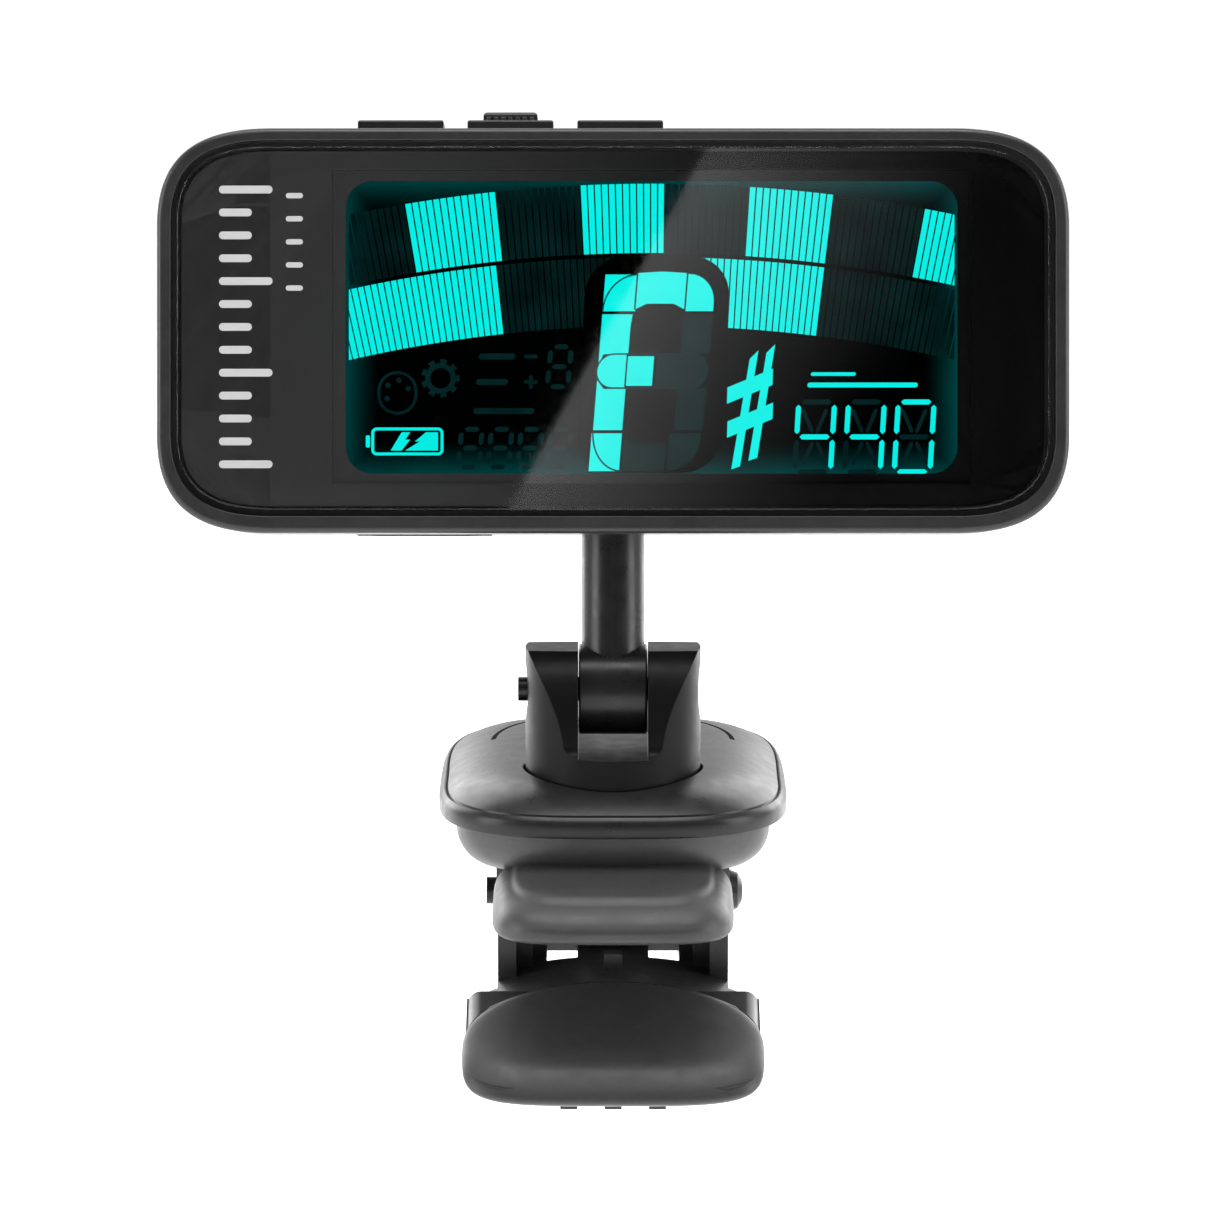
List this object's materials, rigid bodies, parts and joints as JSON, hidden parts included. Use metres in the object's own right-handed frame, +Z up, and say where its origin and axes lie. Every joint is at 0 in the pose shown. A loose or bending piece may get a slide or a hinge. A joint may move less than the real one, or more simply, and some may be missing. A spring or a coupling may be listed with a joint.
{
  "type": "clip-on instrument tuner",
  "caption": "Clip-on instrument tuner: wide display head on a tilting post and swivelling turret, above a sprung two-lever clip with rubber jaw pads.",
  "frame": {"origin": "middle of the upper jaw pad's gripping face, the plane the clamped edge rests against", "axes": "+Z up along the swivel axis, -Y the side the display and the finger levers face, +X to the right seen from that side"},
  "size_m": [0.075, 0.0494, 0.0784],
  "materials": {
    "shell_dark": "satin black moulded plastic",
    "clip_dark": "satin dark grey moulded plastic",
    "clip_grey": "fine matt grey moulded plastic",
    "soft_grip": "smooth matt soft-touch rubber",
    "jaw_rubber": "matt black rubber",
    "window_black": "gloss smoked clear panel",
    "tape_black": "matt black adhesive film",
    "lcd_black": "dark polarised panel",
    "guide_clear": "milky clear acrylic",
    "holder_white": "matt white moulded plastic",
    "strip_grey": "layered conductive rubber",
    "board_green": "green solder mask on glass laminate",
    "chip_black": "matt moulded epoxy",
    "cell_foil": "foil pouch",
    "foam_grey": "foam adhesive pad",
    "sensor_brass": "thin brass disc",
    "port_steel": "drawn steel shell",
    "screw_steel": "black zinc plated steel",
    "spring_steel": "bright spring wire"
  },
  "bodies": {
    "upper": {"upper_arm": "clip_grey", "upper_cap": "clip_dark", "cap_screws": "screw_steel", "upper_finger_pad": "soft_grip", "upper_jaw_pad": "jaw_rubber", "hinge_axle": "screw_steel", "torsion_spring": "spring_steel"},
    "lower": {"lower_arm": "clip_dark", "lower_jaw_pad": "jaw_rubber", "lower_finger_pad": "clip_dark"},
    "turret": {"fork": "clip_dark", "tilt_pin": "screw_steel", "wave_washer": "spring_steel", "retainer_washer": "screw_steel", "swivel_screw": "screw_steel"},
    "head": {"front_bezel": "shell_dark", "rear_cover": "shell_dark", "display_window": "window_black", "window_tape": "tape_black", "lcd_panel": "lcd_black", "light_guide": "guide_clear", "zebra_strip": "strip_grey", "lcd_holder": "holder_white", "main_board": "board_green", "board_chips": "chip_black", "battery_pack": "cell_foil", "battery_pad": "foam_grey", "piezo_disc": "sensor_brass", "usb_c_socket": "port_steel", "port_surround": "clip_dark", "case_screws": "screw_steel", "tact_switches": "chip_black", "post": "shell_dark", "post_washer": "screw_steel", "post_nut": "screw_steel"},
    "button_left": {"left_button": "clip_dark"},
    "button_centre": {"centre_button": "clip_dark"},
    "button_right": {"right_button": "clip_dark"}
  },
  "joints": [
    {"name": "clip_hinge", "type": "hinge", "parent": "upper", "child": "lower", "pos_m": [0, -0.0145, -0.00085], "axis": [-1, 0, 0], "range_deg": [0, 22], "stiffness_Nm_per_rad": 0.16, "springref_deg": -14.32, "deforming": ["torsion_spring"]},
    {"name": "turret_swivel", "type": "hinge", "parent": "upper", "child": "turret", "pos_m": [0, -0.0185, 0.0097], "axis": [0, 0, 1], "continuous": true},
    {"name": "head_tilt", "type": "hinge", "parent": "turret", "child": "head", "pos_m": [0, -0.0185, 0.0173], "axis": [1, 0, 0], "range_deg": [-74.5, 95.5]},
    {"name": "left_press", "type": "slide", "parent": "head", "child": "button_left", "axis": [0, -0.1822, -0.9833], "range_m": [0, 0.00035], "stiffness_N_per_m": 80, "springref_m": -0.00005},
    {"name": "centre_press", "type": "slide", "parent": "head", "child": "button_centre", "axis": [0, -0.1822, -0.9833], "range_m": [0, 0.00035], "stiffness_N_per_m": 80, "springref_m": -0.00005},
    {"name": "right_press", "type": "slide", "parent": "head", "child": "button_right", "axis": [0, -0.1822, -0.9833], "range_m": [0, 0.00035], "stiffness_N_per_m": 80, "springref_m": -0.00005}
  ]
}
